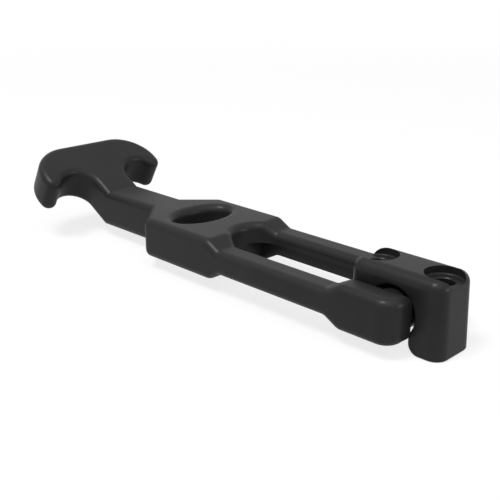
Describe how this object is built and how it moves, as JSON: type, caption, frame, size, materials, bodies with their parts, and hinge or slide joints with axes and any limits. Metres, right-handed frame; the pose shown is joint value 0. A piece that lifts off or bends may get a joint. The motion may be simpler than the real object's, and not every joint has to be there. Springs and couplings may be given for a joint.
{
  "type": "draw latch",
  "caption": "Rubber draw latch: a strap with a T head and an oval finger hole, turning on a round crossbar in a plastic saddle bracket.",
  "frame": {"origin": "on the mounting surface, midway between the two screws and straight below the crossbar's axis", "axes": "-X along the strap to its T head, Y along the crossbar, +Z out of the mounting surface"},
  "size_m": [0.1295, 0.038, 0.0227],
  "materials": {
    "rubber": "satin black",
    "plastic": "satin black"
  },
  "bodies": {
    "bracket": {"mounting_bracket": "plastic"},
    "strap": {"rubber_strap": "rubber"}
  },
  "joints": [
    {"name": "strap_swing", "type": "hinge", "parent": "bracket", "child": "strap", "pos_m": [0, 0, 0.008], "axis": [0, 1, 0], "range_deg": [0, 170]}
  ]
}
